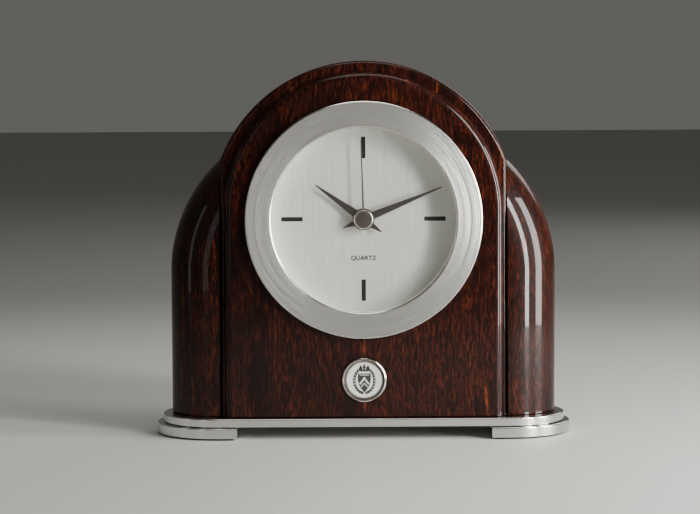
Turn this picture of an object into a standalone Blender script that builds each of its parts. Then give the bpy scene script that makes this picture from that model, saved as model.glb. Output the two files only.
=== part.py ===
"""A mantel clock with a quartz movement, modelled as the separate pieces that it is assembled from.

Metres, +Z up. The front faces -Y, +X is to the right of someone who reads the dial, and the origin is
on the surface that the clock stands on, under the middle of the case.
"""

import math

import bmesh
import bpy
from mathutils import Matrix, Vector

MM = 0.001

# Driving dimensions, in millimetres
FIT_GAP = 0.3  # between two pieces that touch
ARCH_CENTRE_Z = 111.8
ARCH_RADIUS = 76.5
BODY_HALF_WIDTH = 72.2
BODY_FRONT = -19.7
BODY_BACK = 20.0
BODY_ROUNDING = 5.0
PANEL_RADIUS = 69.9
PANEL_CENTRE_Z = 113.0
PANEL_THICKNESS = 5.0
PANEL_ROUNDING = 4.5
WING_HALF_WIDTH = 97.6
WING_RADIUS = 78.0
WING_ARC_Z = 81.7
WING_DEPTH = 23.0  # half of the pillow's thickness
WING_INWARD = 26.6
WING_MIDDLE_Y = 2.0
DIAL_Z = 109.3  # height of the hands' axis
BEZEL_RADIUS = 59.1
BEZEL_OPENING = 46.2
BEZEL_THICKNESS = 3.0
SPIGOT_RADIUS = 49.6
GLASS_RADIUS = 48.5
PLATE_HALF_LENGTH = 102.1
PLATE_HALF_DEPTH = 30.0
PLATE_BOTTOM = 6.4
PLATE_TOP = 10.4
FOOT_HALF_LENGTH = 105.0
FOOT_HALF_DEPTH = 32.8
FOOT_INNER_X = 63.5
PAD_THICKNESS = 0.7
EMBLEM_Z = 29.3
EMBLEM_RADIUS = 11.3
EMBLEM_WALL = 1.4  # of its rim
EMBLEM_RECESS = 1.8  # into the front panel
BACK_PANEL_THICKNESS = 4.7
BACK_PANEL_ROUNDING = 2.5
MOVEMENT_HALF = 29.0

# What follows from them
PANEL_FRONT = BODY_FRONT - FIT_GAP - PANEL_THICKNESS
BEZEL_BACK = PANEL_FRONT - FIT_GAP
BEZEL_FRONT = BEZEL_BACK - BEZEL_THICKNESS
WOOD_BOTTOM = PLATE_TOP + FIT_GAP
FOOT_BOTTOM = PAD_THICKNESS + FIT_GAP
FOOT_TOP = PLATE_BOTTOM - FIT_GAP
BODY_SHOULDER_Z = ARCH_CENTRE_Z + math.sqrt(ARCH_RADIUS**2 - BODY_HALF_WIDTH**2)
SPIGOT_BORE = SPIGOT_RADIUS + 0.4
WEB_FRONT = -15.0
WEB_BACK = -9.0
POCKET_HALF = MOVEMENT_HALF + 2.5
DIAL_BORE = 53.0
DIAL_FRONT = WEB_FRONT - FIT_GAP - 1.0
GLASS_FRONT = BEZEL_FRONT + 2.8
GLASS_BACK = GLASS_FRONT + 2.0

# The movement, front to back
SHAFT_HOLE = 3.9
BUSHING_RADIUS = 3.5
BUSHING_BORE = 2.6
HOUR_PIPE = (1.8, 2.3)
MINUTE_PIPE = (0.8, 1.5)
ARBOR = 0.45
CASE_FRONT = WEB_BACK + FIT_GAP
CASE_INSIDE = CASE_FRONT + 1.0
CASE_BACK = 7.4
COVER_FRONT = CASE_BACK + FIT_GAP
COVER_BACK = COVER_FRONT + 1.2
BAY_TOP = -11.1  # of the battery bay, from the hands' axis
BATTERY_RADIUS = 7.1
BATTERY_DROP = -18.9
BATTERY_LENGTH = 50.5
WALL = 1.2  # of the movement's case and cover
BUSHING_END = -18.5
MOTION_ARBOR = 0.6
MAGNET_RADIUS = 3.0
KNOB_RADIUS = 5.0
KNOB_RIDGES = 20
KNOB_BACK = 14.0

# Hands
HOUR_HAND_FRONT = -19.3
MINUTE_HAND_FRONT = -20.4
SECOND_HAND_FRONT = -21.6
HAND_THICKNESS = 0.45
HAND_TAIL = 10.9
CAP_RADIUS = 4.85
CAP_HEIGHT = 0.9

# Dowels and screws
DOWELS = [(side, height) for side in (-1, 1) for height in (40.0, 112.0)]
DOWEL_RADIUS = 3.0
DOWEL_REACH = 11.0  # into the case and into the wing, from the joint
BACK_SCREWS = [(x, z) for x in (-55.0, 55.0) for z in (30.0, 128.0)]
BASE_SCREWS = [(x, y) for x in (-42.0, 42.0) for y in (-12.0, 12.0)]
FOOT_SCREWS = [(x, y) for x in (-86.0, 86.0) for y in (-13.0, 13.0)]
SCREW_RADIUS = 1.5
SCREW_LENGTH = 14.0
FOOT_SCREW_LENGTH = 6.6
HEAD_RADIUS = 3.2
HEAD_HEIGHT = 1.8
FOOT_HEAD_TOP = 3.0  # height of the underside of a foot screw's head

# The gear train: teeth, and where each axis lies from the hands' axis
ROTOR_TEETH = 6
INTERMEDIATE_TEETH = (36, 6)
SECONDS_TEETH = (30, 6)
THIRD_TEETH = (48, 6)
CENTRE_TEETH = 45
CANNON_TEETH = 10
MOTION_TEETH = (30, 8)
HOUR_TEETH = 32
WHEEL_TOOTH = (0.8, 1.15, 0.16, 0.62)  # addendum, dedendum, and tip and root widths as shares of the pitch
PINION_TOOTH = (0.6, 1.2, 0.2, 0.4)
KNOB_RIDGE = (0.25, 0.35, 0.3, 0.6)
THIRD_REACH, THIRD_ANGLE = 8.4, math.radians(-10)
INTERMEDIATE_REACH, INTERMEDIATE_ANGLE = 8.7, math.radians(90)
ROTOR_REACH, ROTOR_ANGLE = 7.35, math.radians(60)
MOTION_REACH, MOTION_ANGLE = 9.0, math.radians(190)

# The time shown, as angles clockwise from twelve
HOUR_ANGLE = math.radians(305.6)
MINUTE_ANGLE = math.radians(67.7)
SECOND_ANGLE = math.radians(358.2)


# Collections, finishes and placing ------------------------------------------------------------------

for old in list(bpy.data.objects):
    bpy.data.objects.remove(old, do_unlink=True)

clock = bpy.data.collections.new("mantel_clock")
cutters = bpy.data.collections.new("cutters")
bpy.context.scene.collection.children.link(clock)
bpy.context.scene.collection.children.link(cutters)

FINISHES = {
    "lacquered_wood": ((0.105, 0.030, 0.017), 0.12, 0.0),
    "bare_wood": ((0.42, 0.27, 0.15), 0.75, 0.0),
    "brushed_aluminium": ((0.58, 0.58, 0.55), 0.32, 1.0),
    "dial_silver": ((0.66, 0.67, 0.63), 0.42, 0.85),
    "gunmetal": ((0.075, 0.07, 0.065), 0.35, 0.9),
    "satin_nickel": ((0.42, 0.37, 0.33), 0.3, 1.0),
    "polished_rim": ((0.62, 0.55, 0.51), 0.12, 1.0),
    "white_enamel": ((0.72, 0.73, 0.69), 0.3, 0.0),
    "clear_glass": ((0.95, 0.97, 0.96), 0.03, 0.0),
    "black_plastic": ((0.02, 0.02, 0.021), 0.5, 0.0),
    "gear_nylon": ((0.75, 0.74, 0.68), 0.5, 0.0),
    "brass": ((0.62, 0.45, 0.18), 0.3, 1.0),
    "zinc_steel": ((0.52, 0.52, 0.5), 0.35, 1.0),
    "copper_wire": ((0.55, 0.2, 0.08), 0.35, 1.0),
    "green_board": ((0.03, 0.17, 0.06), 0.5, 0.0),
    "battery_wrap": ((0.12, 0.14, 0.16), 0.35, 0.0),
    "rubber": ((0.018, 0.018, 0.018), 0.85, 0.0),
}


def finish_of(name):
    """The material called name, each with a colour, a roughness and a metallic value."""
    material = bpy.data.materials.get(name)
    if material is None:
        colour, roughness, metallic = FINISHES[name]
        material = bpy.data.materials.new(name)
        material.use_nodes = True
        shader = material.node_tree.nodes["Principled BSDF"]
        shader.inputs["Base Color"].default_value = (*colour, 1.0)
        shader.inputs["Roughness"].default_value = roughness
        shader.inputs["Metallic"].default_value = metallic
        material.diffuse_color = (*colour, 1.0)
    return material


def place(name, mesh, finish, x=0.0, z=0.0):
    """Put a mesh, in millimetres about an axis along Y, into the clock with its origin on that axis."""
    mesh.transform(Matrix.Scale(MM, 4))
    mesh.shade_smooth()
    mesh.set_sharp_from_angle(angle=math.radians(32))
    piece = bpy.data.objects.new(name, mesh)
    if finish is None:
        cutters.objects.link(piece)
        piece.hide_render = True
        piece.display_type = "WIRE"
    else:
        clock.objects.link(piece)
        mesh.materials.append(finish_of(finish))
    piece.location = (x * MM, 0.0, z * MM)
    return piece


def mesh_of(name, shape):
    mesh = bpy.data.meshes.new(name)
    shape.to_mesh(mesh)
    shape.free()
    return mesh


# Shapes, in millimetres ------------------------------------------------------------------------------


def box(name, low, high, finish=None, x=0.0, z=0.0):
    """A block between two corners."""
    shape = bmesh.new()
    bmesh.ops.create_cube(shape, size=1.0)
    size = Vector(high) - Vector(low)
    middle = (Vector(high) + Vector(low)) / 2
    bmesh.ops.scale(shape, vec=size, verts=shape.verts)
    bmesh.ops.translate(shape, vec=middle, verts=shape.verts)
    return place(name, mesh_of(name, shape), finish, x, z)


def rods(name, ends, finish=None, sides=16, x=0.0, z=0.0):
    """Cylinders in one mesh, each given as (start, end, radius)."""
    shape = bmesh.new()
    for start, end, radius in ends:
        start, end = Vector(start), Vector(end)
        turn = (end - start).to_track_quat("Z", "Y").to_matrix().to_4x4()
        bmesh.ops.create_cone(
            shape,
            cap_ends=True,
            segments=sides,
            radius1=radius,
            radius2=radius,
            depth=(end - start).length,
            matrix=Matrix.Translation((start + end) / 2) @ turn,
        )
    return place(name, mesh_of(name, shape), finish, x, z)


ALONG = {"X": (0.0, math.pi / 2, 0.0), "Y": (-math.pi / 2, 0.0, 0.0), "down": (math.pi, 0.0, 0.0)}


def turned(name, profile, finish=None, steps=48, x=0.0, z=0.0, along="Y"):
    """A piece turned from a profile of (radius, place along the axis) points.

    The profile runs down the outer side, from the axis's far end to its near one. It is a closed ring,
    unless it starts and ends on the axis.
    """
    shape = bmesh.new()
    points = [shape.verts.new((radius, 0.0, height)) for radius, height in profile]
    for first, second in zip(points, points[1:]):
        shape.edges.new((first, second))
    if profile[0][0] > 0.0:
        shape.edges.new((points[-1], points[0]))
    mesh = mesh_of(name, shape)
    piece = place(name, mesh, finish, x, z)
    screw = piece.modifiers.new("turn", "SCREW")
    screw.steps = steps
    screw.render_steps = steps
    screw.use_merge_vertices = True
    screw.merge_threshold = 0.00001
    piece.rotation_euler = ALONG[along]
    return piece


def plate(name, outlines, front, back, finish=None, x=0.0, z=0.0, level=False):
    """A flat sheet between two depths, its first outline the edge and any others the holes.

    It stands in the XZ plane, or lies in the XY plane between two heights if it is level.
    """
    curve = bpy.data.curves.new(name, "CURVE")
    curve.dimensions = "2D"
    curve.fill_mode = "BOTH"
    curve.extrude = (back - front) / 2
    for outline in outlines:
        spline = curve.splines.new("POLY")
        spline.points.add(len(outline) - 1)
        spline.use_cyclic_u = True
        for point, (across, up) in zip(spline.points, outline):
            point.co = (across, up, 0.0, 1.0)
    sheet = as_mesh(curve)
    middle = (front + back) / 2
    if level:
        sheet.transform(Matrix.Translation((0.0, 0.0, middle)))
    else:
        stand = Matrix.Rotation(math.pi / 2, 4, "X")
        sheet.transform(Matrix.Translation((0.0, middle, 0.0)) @ stand)
    return place(name, sheet, finish, x, z)


def as_mesh(curve):
    """A closed mesh of a curve, with its caps welded to its sides."""
    holder = bpy.data.objects.new(curve.name, curve)
    clock.objects.link(holder)
    evaluated = holder.evaluated_get(bpy.context.evaluated_depsgraph_get())
    mesh = bpy.data.meshes.new_from_object(evaluated)
    shape = bmesh.new()
    shape.from_mesh(mesh)
    bmesh.ops.remove_doubles(shape, verts=shape.verts, dist=0.0001)
    bmesh.ops.recalc_face_normals(shape, faces=shape.faces)
    flat = math.radians(0.05)
    bmesh.ops.dissolve_limit(shape, angle_limit=flat, verts=shape.verts, edges=shape.edges)
    shape.to_mesh(mesh)
    shape.free()
    bpy.data.objects.remove(holder)
    bpy.data.curves.remove(curve)
    return mesh


def wire(name, points, radius, finish=None, resolution=2, x=0.0, z=0.0):
    """A round bar through points."""
    curve = bpy.data.curves.new(name, "CURVE")
    curve.dimensions = "3D"
    curve.bevel_depth = radius
    curve.bevel_resolution = resolution
    curve.use_fill_caps = True
    spline = curve.splines.new("POLY")
    spline.points.add(len(points) - 1)
    for point, place_of in zip(spline.points, points):
        point.co = (*place_of, 1.0)
    return place(name, as_mesh(curve), finish, x, z)


def carve(piece, tool, operation="DIFFERENCE"):
    """Cut piece with tool, or join the two, and keep the tool among the cutters."""
    boolean = piece.modifiers.new(tool.name, "BOOLEAN")
    boolean.operation = operation
    boolean.solver = "EXACT"
    boolean.object = tool


def round_over(piece, width, segments, chosen):
    """Round or chamfer the sharp edges whose two ends satisfy chosen, a test in millimetres."""
    shape = bmesh.new()
    shape.from_mesh(piece.data)
    weight = shape.edges.layers.float.new("bevel_weight_edge")
    for edge in shape.edges:
        start, end = (vert.co / MM for vert in edge.verts)
        if edge.calc_face_angle() > math.radians(30) and chosen(start, end):
            edge[weight] = 1.0
    shape.to_mesh(piece.data)
    shape.free()
    bevel = piece.modifiers.new("rounding", "BEVEL")
    bevel.limit_method = "WEIGHT"
    bevel.width = width * MM
    bevel.segments = segments
    bevel.use_clamp_overlap = False


# Outlines ----------------------------------------------------------------------------------------------


def arc(centre, radius, start, end, count):
    """Points along an arc, with its angles in radians from +X."""
    angles = (start + (end - start) * step / (count - 1) for step in range(count))
    return [(centre[0] + radius * math.cos(a), centre[1] + radius * math.sin(a)) for a in angles]


def circle(radius, count=48, centre=(0.0, 0.0)):
    return arc(centre, radius, 0.0, math.tau * (count - 1) / count, count)


def rectangle(left, bottom, right, top):
    return [(left, bottom), (right, bottom), (right, top), (left, top)]


def arch(radius, half_width, bottom, centre_z=ARCH_CENTRE_Z, count=37):
    """A round arch on two upright sides, which meet it where it is as wide as they are."""
    spring = math.acos(min(1.0, half_width / radius))
    top = arc((0.0, centre_z), radius, spring, math.pi - spring, count)
    return [(-half_width, bottom), (half_width, bottom)] + top


def stadium(half_length, half_depth, count=17):
    """A bar with half-round ends."""
    reach = half_length - half_depth
    right = arc((reach, 0.0), half_depth, -math.pi / 2, math.pi / 2, count)
    left = arc((-reach, 0.0), half_depth, math.pi / 2, 3 * math.pi / 2, count)
    return right + left


def half_stadium(half_length, half_depth, inner, count=17):
    """The right end of such a bar, from inner outwards."""
    reach = half_length - half_depth
    end = arc((reach, 0.0), half_depth, -math.pi / 2, math.pi / 2, count)
    return [(inner, half_depth), (inner, -half_depth)] + end


def mirrored(outline):
    return [(-across, up) for across, up in reversed(outline)]


def gear(teeth, module, phase, tooth):
    """A gear's outline, with the middle of one tooth at the angle phase."""
    addendum, dedendum, tip_width, root_width = tooth
    tip = module * (teeth / 2 + addendum)
    root = module * (teeth / 2 - dedendum)
    half_pitch = math.pi / teeth
    outline = []
    for index in range(teeth):
        middle = phase + 2 * half_pitch * index
        corners = ((root, -root_width), (tip, -tip_width), (tip, tip_width), (root, root_width))
        for radius, share in corners:
            angle = middle + share * half_pitch
            outline.append((radius * math.cos(angle), radius * math.sin(angle)))
    return outline


def meshed_phase(phase, teeth, other_teeth, direction):
    """The phase of a gear that lies in direction from one with this phase, so that the two mesh."""
    return direction + math.pi - (math.pi - (direction - phase) * teeth) / other_teeth


def axis_at(reach, angle, start=(0.0, 0.0)):
    return start[0] + reach * math.cos(angle), start[1] + reach * math.sin(angle)


INTERMEDIATE_AXIS = axis_at(INTERMEDIATE_REACH, INTERMEDIATE_ANGLE)
ROTOR_AXIS = axis_at(ROTOR_REACH, ROTOR_ANGLE, INTERMEDIATE_AXIS)
THIRD_AXIS = axis_at(THIRD_REACH, THIRD_ANGLE)
MOTION_AXIS = axis_at(MOTION_REACH, MOTION_ANGLE)


# The wooden case -----------------------------------------------------------------------------------


def make_case_body():
    body = plate(
        "case_body",
        [arch(ARCH_RADIUS, BODY_HALF_WIDTH, WOOD_BOTTOM)],
        BODY_FRONT,
        BODY_BACK,
        "lacquered_wood",
    )
    shoulder = BODY_SHOULDER_Z - 0.01
    faces = (BODY_FRONT, BODY_BACK)

    def on_arch_rim(start, end):
        level = any(abs(start.y - face) < 0.01 and abs(end.y - face) < 0.01 for face in faces)
        return level and min(start.z, end.z) > shoulder and abs(start.x - end.x) < BODY_HALF_WIDTH

    round_over(body, BODY_ROUNDING, 3, on_arch_rim)
    carve(body, rods("dial_bore", [((0, -40, 0), (0, WEB_FRONT, 0), DIAL_BORE)], sides=48, z=DIAL_Z))
    side = POCKET_HALF
    carve(body, box("movement_pocket", (-side, WEB_BACK, -side), (side, 40, side), z=DIAL_Z))
    carve(body, rods("shaft_hole", [((0, -20, 0), (0, 0, 0), SHAFT_HOLE)], sides=24, z=DIAL_Z))
    carve(body, rods("body_dowel_holes", [dowel_span(*spot, FIT_GAP) for spot in DOWELS], sides=12))
    carve(body, rods("body_screw_holes", back_screw_holes() + base_screw_holes(), sides=12))


def make_front_panel():
    panel = plate(
        "front_panel",
        [arch(PANEL_RADIUS, PANEL_RADIUS, WOOD_BOTTOM, PANEL_CENTRE_Z)],
        PANEL_FRONT,
        BODY_FRONT - FIT_GAP,
        "lacquered_wood",
    )

    def on_front_rim(start, end):
        forward = max(start.y, end.y) < PANEL_FRONT + 0.01
        return forward and max(start.z, end.z) > WOOD_BOTTOM + 0.01

    round_over(panel, PANEL_ROUNDING, 3, on_front_rim)
    carve(panel, rods("spigot_bore", [((0, -40, 0), (0, 0, 0), SPIGOT_BORE)], sides=48, z=DIAL_Z))
    floor = PANEL_FRONT + EMBLEM_RECESS
    recess = ((0, -40, 0), (0, floor, 0), EMBLEM_RADIUS + FIT_GAP)
    carve(panel, rods("emblem_recess", [recess], sides=32, z=EMBLEM_Z))


def make_back_panel():
    front = BODY_BACK + FIT_GAP
    opening = POCKET_HALF - 0.5
    low = DIAL_Z - opening
    panel = plate(
        "back_panel",
        [
            arch(PANEL_RADIUS, PANEL_RADIUS, WOOD_BOTTOM, PANEL_CENTRE_Z),
            rectangle(-opening, low, opening, low + 2 * opening),
        ],
        front,
        front + BACK_PANEL_THICKNESS,
        "lacquered_wood",
    )
    back = front + BACK_PANEL_THICKNESS

    def on_back_rim(start, end):
        behind = min(start.y, end.y) > back - 0.01
        outside = all(abs(spot.x) > opening + 0.1 or spot.z > DIAL_Z + opening + 0.1 for spot in (start, end))
        return behind and outside and max(start.z, end.z) > WOOD_BOTTOM + 0.01

    round_over(panel, BACK_PANEL_ROUNDING, 2, on_back_rim)
    carve(panel, rods("panel_screw_holes", back_screw_holes(), sides=12))


def make_wing(name, side):
    """An upright pillow beside the case: an ellipse swept along the wing's outline, cut to fit the case."""
    arc_x = WING_HALF_WIDTH - WING_RADIUS
    bend = WING_RADIUS - WING_INWARD
    path = arc((arc_x, WING_ARC_Z), bend, 0.0, math.radians(96), 17)
    points = [(side * (arc_x + bend), 0.0, -40.0)] + [(side * x, 0.0, z) for x, z in path]
    wing = wire(name, points, WING_INWARD, "lacquered_wood", resolution=9)
    wing.data.transform(Matrix.Diagonal((1.0, WING_DEPTH / WING_INWARD, 1.0, 1.0)))
    wing.data.transform(Matrix.Translation((0.0, WING_MIDDLE_Y * MM, 0.0)))
    case_space = plate(
        name + "_case_space",
        [arch(ARCH_RADIUS + FIT_GAP, BODY_HALF_WIDTH + FIT_GAP, -60.0)],
        -60.0,
        60.0,
    )
    carve(wing, case_space)
    carve(wing, box(name + "_floor", (-150, -80, -80), (150, 80, WOOD_BOTTOM)))
    holes = [dowel_span(*spot, FIT_GAP) for spot in DOWELS if spot[0] == side]
    carve(wing, rods(name + "_dowel_holes", holes, sides=12))



def dowel_span(side, height, spare=0.0):
    """A dowel, or with some to spare its hole, as a rod across the joint between case and wing."""
    joint = BODY_HALF_WIDTH + FIT_GAP / 2
    reach = DOWEL_REACH + spare
    start = (side * (joint - reach), 4.0, height)
    end = (side * (joint + reach), 4.0, height)
    return start, end, DOWEL_RADIUS + spare


def make_dowels():
    for number, spot in enumerate(DOWELS, 1):
        rods(f"wing_dowel_{number}", [dowel_span(*spot)], "bare_wood", sides=12)


# Screws --------------------------------------------------------------------------------------------


def back_screw_holes():
    front = BODY_BACK + BACK_PANEL_THICKNESS + FIT_GAP - SCREW_LENGTH
    return [((x, front, z), (x, 60.0, z), SCREW_RADIUS + FIT_GAP) for x, z in BACK_SCREWS]


def base_screw_holes():
    top = PLATE_BOTTOM + SCREW_LENGTH + FIT_GAP
    return [((x, y, -20.0), (x, y, top), SCREW_RADIUS + FIT_GAP) for x, y in BASE_SCREWS]


def foot_screw_holes():
    return [((x, y, -20.0), (x, y, 40.0), SCREW_RADIUS + FIT_GAP) for x, y in FOOT_SCREWS]


def foot_counterbores():
    depth = FOOT_HEAD_TOP + 0.2
    return [((x, y, -5.0), (x, y, depth), HEAD_RADIUS + FIT_GAP) for x, y in FOOT_SCREWS]


def make_screw(name, length, x, y, z, along):
    """A pan-head screw, the underside of its head at the given point."""
    profile = [
        (0.0, HEAD_HEIGHT),
        (HEAD_RADIUS - 0.7, HEAD_HEIGHT),
        (HEAD_RADIUS, HEAD_HEIGHT * 0.45),
        (HEAD_RADIUS, 0.0),
        (SCREW_RADIUS, 0.0),
        (SCREW_RADIUS, 1.0 - length),
        (0.0, -length),
    ]
    screw = turned(name, profile, "zinc_steel", steps=10, x=x, z=z, along=along)
    screw.location.y = y * MM


def make_screws():
    panel_back = BODY_BACK + BACK_PANEL_THICKNESS + 2 * FIT_GAP
    for number, (x, z) in enumerate(BACK_SCREWS, 1):
        make_screw(f"back_screw_{number}", SCREW_LENGTH, x, panel_back, z, "Y")
    for number, (x, y) in enumerate(BASE_SCREWS, 1):
        make_screw(f"base_screw_{number}", SCREW_LENGTH, x, y, PLATE_BOTTOM - FIT_GAP, "down")
    for number, (x, y) in enumerate(FOOT_SCREWS, 1):
        make_screw(f"foot_screw_{number}", FOOT_SCREW_LENGTH, x, y, FOOT_HEAD_TOP, "down")


# The base ------------------------------------------------------------------------------------------


def make_base():
    base = plate(
        "base_plate",
        [stadium(PLATE_HALF_LENGTH, PLATE_HALF_DEPTH)],
        PLATE_BOTTOM,
        PLATE_TOP,
        "brushed_aluminium",
        level=True,
    )
    round_over(base, 0.6, 1, lambda start, end: min(start.z, end.z) > PLATE_TOP - 0.01)
    carve(base, rods("base_holes", base_screw_holes() + foot_screw_holes(), sides=12))
    end = half_stadium(FOOT_HALF_LENGTH, FOOT_HALF_DEPTH, FOOT_INNER_X)
    pad_end = half_stadium(FOOT_HALF_LENGTH - 2.0, FOOT_HALF_DEPTH - 2.0, FOOT_INNER_X + 2.0, count=13)
    for side, shape in (("left", mirrored), ("right", list)):
        foot = plate(
            f"foot_{side}",
            [shape(end)],
            FOOT_BOTTOM,
            FOOT_TOP,
            "brushed_aluminium",
            level=True,
        )
        round_over(foot, 0.7, 1, lambda start, end: min(start.z, end.z) > FOOT_TOP - 0.01)
        carve(foot, rods(f"foot_{side}_holes", foot_screw_holes(), sides=12))
        carve(foot, rods(f"foot_{side}_counterbores", foot_counterbores(), sides=16))
        plate(f"foot_pad_{side}", [shape(pad_end)], 0.0, PAD_THICKNESS, "rubber", level=True)


# The dial, its bezel and the emblem ----------------------------------------------------------------


def make_dial():
    chamfer = 0.5
    lip = BEZEL_FRONT + 2.5
    spigot_end = BODY_FRONT - FIT_GAP
    bezel = [
        (BEZEL_RADIUS, BEZEL_BACK),
        (BEZEL_RADIUS, BEZEL_FRONT + chamfer),
        (BEZEL_RADIUS - chamfer, BEZEL_FRONT),
        (BEZEL_OPENING + chamfer, BEZEL_FRONT),
        (BEZEL_OPENING, BEZEL_FRONT + chamfer),
        (BEZEL_OPENING, lip),
        (GLASS_RADIUS + FIT_GAP, lip),
        (GLASS_RADIUS + FIT_GAP, spigot_end),
        (SPIGOT_RADIUS, spigot_end),
        (SPIGOT_RADIUS, BEZEL_BACK),
    ]
    turned("bezel_ring", bezel, "brushed_aluminium", steps=48, z=DIAL_Z)
    rods("lens_glass", [((0, GLASS_FRONT, 0), (0, GLASS_BACK, 0), GLASS_RADIUS)], "clear_glass", 48, z=DIAL_Z)
    spacer_back = DIAL_FRONT - FIT_GAP
    spacer = [
        (GLASS_RADIUS, spacer_back),
        (GLASS_RADIUS, GLASS_BACK + FIT_GAP),
        (BEZEL_OPENING, GLASS_BACK + FIT_GAP),
        (BEZEL_OPENING, spacer_back),
    ]
    turned("dial_spacer_ring", spacer, "dial_silver", steps=48, z=DIAL_Z)
    plate(
        "dial_plate",
        [circle(DIAL_BORE - 0.5), circle(SHAFT_HOLE, 20)],
        DIAL_FRONT,
        DIAL_FRONT + 1.0,
        "dial_silver",
        z=DIAL_Z,
    )


def make_emblem():
    back = PANEL_FRONT + EMBLEM_RECESS - FIT_GAP
    front = PANEL_FRONT - 1.3
    bore = EMBLEM_RADIUS - EMBLEM_WALL
    rim = [
        (EMBLEM_RADIUS, back),
        (EMBLEM_RADIUS, front + 0.9),
        (EMBLEM_RADIUS - 0.5, front + 0.2),
        (EMBLEM_RADIUS - 0.9, front),
        (bore, front + 0.5),
        (bore, back),
    ]
    turned("emblem_rim", rim, "polished_rim", steps=32, z=EMBLEM_Z)
    disc = ((0, PANEL_FRONT - 0.4, 0), (0, back, 0), bore - FIT_GAP)
    rods("emblem_disc", [disc], "white_enamel", sides=32, z=EMBLEM_Z)


# The movement --------------------------------------------------------------------------------------


def make_movement_case():
    half = MOVEMENT_HALF
    low = (-half, CASE_FRONT, -half)
    high = (half, CASE_BACK, half)
    case = box("movement_case", low, high, "black_plastic", z=DIAL_Z)
    inner = half - WALL
    works = box("works_space", (-inner, CASE_INSIDE, BAY_TOP + WALL), (inner, 40, inner), z=DIAL_Z)
    bay = box("battery_bay", (-inner, CASE_INSIDE, -inner), (inner, 40, BAY_TOP), z=DIAL_Z)
    carve(case, works)
    carve(case, bay)
    bushing = ((0, BUSHING_END, 0), (0, CASE_FRONT + 0.5, 0), BUSHING_RADIUS)
    carve(case, rods("bushing", [bushing], sides=24, z=DIAL_Z), "UNION")
    carve(case, rods("bushing_bore", [((0, -40, 0), (0, 0, 0), BUSHING_BORE)], sides=24, z=DIAL_Z))


def make_movement_cover():
    half = MOVEMENT_HALF
    low = (-half, COVER_FRONT, BAY_TOP + WALL / 2)
    high = (half, COVER_BACK, half)
    cover = box("movement_cover", low, high, "black_plastic", z=DIAL_Z)
    pivots = [(0.0, 0.0), THIRD_AXIS, INTERMEDIATE_AXIS, ROTOR_AXIS]
    bosses = [((x, COVER_FRONT - 1.5, z), (x, COVER_FRONT + 0.5, z), 1.5) for x, z in pivots]
    carve(cover, rods("pivot_bosses", bosses, sides=12, z=DIAL_Z), "UNION")
    sockets = [((x, 0.0, z), (x, COVER_FRONT + 0.2, z), ARBOR + FIT_GAP) for x, z in pivots]
    knob_x, knob_z = MOTION_AXIS
    sockets.append(((knob_x, 0.0, knob_z), (knob_x, 40.0, knob_z), MOTION_ARBOR + FIT_GAP))
    carve(cover, rods("pivot_sockets", sockets, sides=12, z=DIAL_Z))


def wheel_on_axis(name, axis, layers, arbor, finish="gear_nylon"):
    """A wheel, its pinion and its arbor, or pipe, joined: layers are (outline, front, back) stacks."""
    x, z = axis[0], axis[1] + DIAL_Z
    outline, front, back = layers[0]
    wheel = plate(name, [outline], front, back, finish, x=x, z=z)
    for index, (outline, front, back) in enumerate(layers[1:]):
        carve(wheel, plate(f"{name}_layer_{index}", [outline], front, back, x=x, z=z), "UNION")
    radius, front, back = arbor
    carve(wheel, rods(name + "_arbor", [((0, front, 0), (0, back, 0), radius)], sides=12, x=x, z=z), "UNION")
    return wheel


def module_of(reach, teeth, other_teeth):
    return 2 * reach / (teeth + other_teeth)


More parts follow.
